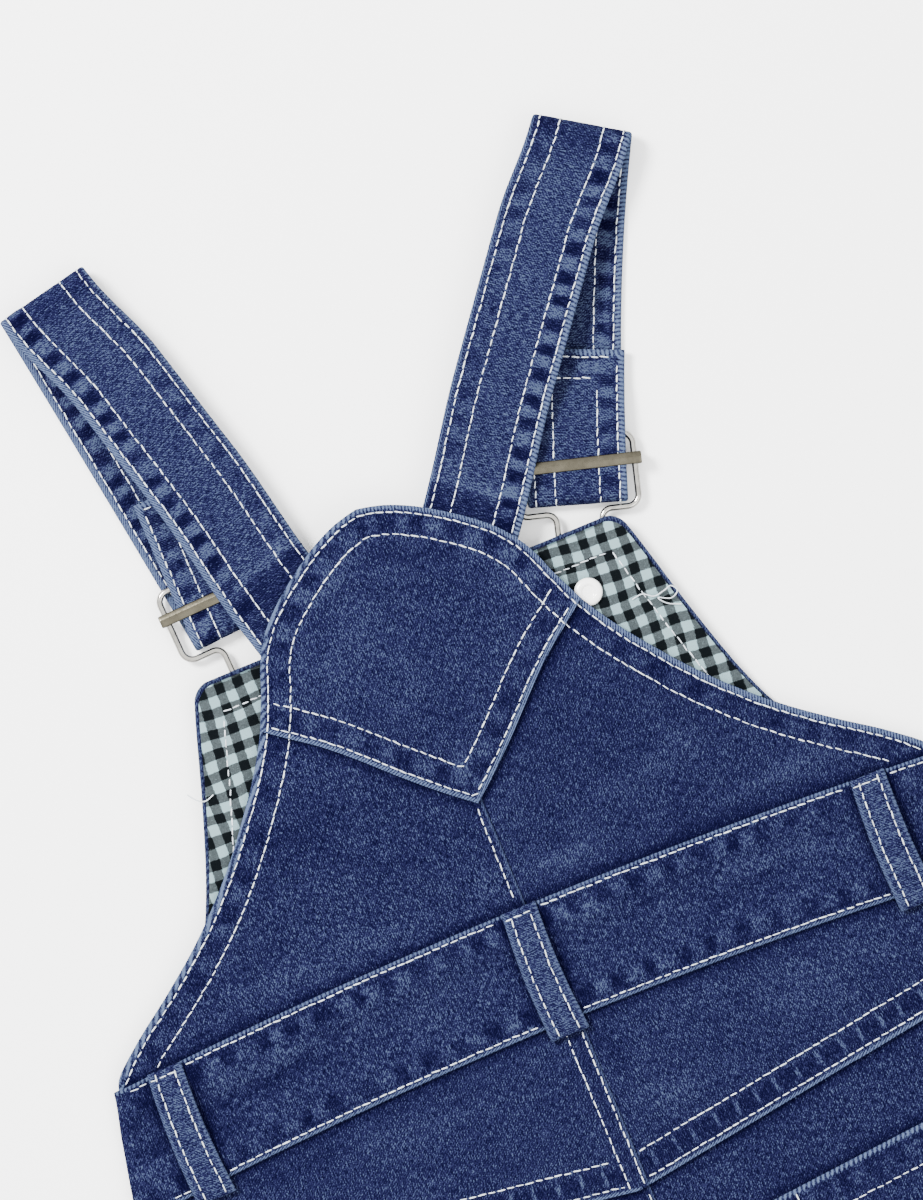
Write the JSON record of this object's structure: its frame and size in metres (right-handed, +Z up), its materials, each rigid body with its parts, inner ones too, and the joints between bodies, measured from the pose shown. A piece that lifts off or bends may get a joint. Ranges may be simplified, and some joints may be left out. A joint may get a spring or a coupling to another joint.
{
  "type": "overalls",
  "caption": "Toddler's denim overalls lying flat on their front, back uppermost, with wire strap buckles hooked on bib buttons and a gingham bib lining.",
  "frame": {"origin": "on the surface the garment lies on, under the middle of its bounding box", "axes": "+X towards the wearer's right side, +Y from the hems towards the straps, +Z up, away from the surface"},
  "size_m": [0.314, 0.6894, 0.0119],
  "materials": {
    "denim": "washed indigo twill",
    "strap_denim": "washed indigo twill, doubled",
    "gingham": "black and pale blue-grey small checks",
    "nickel": "polished nickel plate",
    "snap_white": "glossy white"
  },
  "bodies": {
    "root": {"back_bib_left": "denim", "back_bib_right": "denim", "back_bib_patch": "denim", "waistband_back": "denim", "waistband_front": "denim", "belt_loop_left": "denim", "belt_loop_centre": "denim", "belt_loop_right": "denim", "back_yoke_left": "denim", "back_yoke_right": "denim", "back_leg_left": "denim", "back_leg_right": "denim", "back_pocket_left": "denim", "back_pocket_right": "denim", "front_leg_left": "denim", "front_leg_right": "denim", "front_bib": "denim", "front_bib_lining": "gingham", "strap_left": "strap_denim", "strap_right": "strap_denim", "buckle_wire_left": "nickel", "buckle_wire_right": "nickel", "buckle_slide_left": "nickel", "buckle_slide_right": "nickel", "bib_button_left": "nickel", "bib_button_right": "nickel", "button_back_left": "snap_white", "button_back_right": "snap_white"}
  },
  "joints": []
}
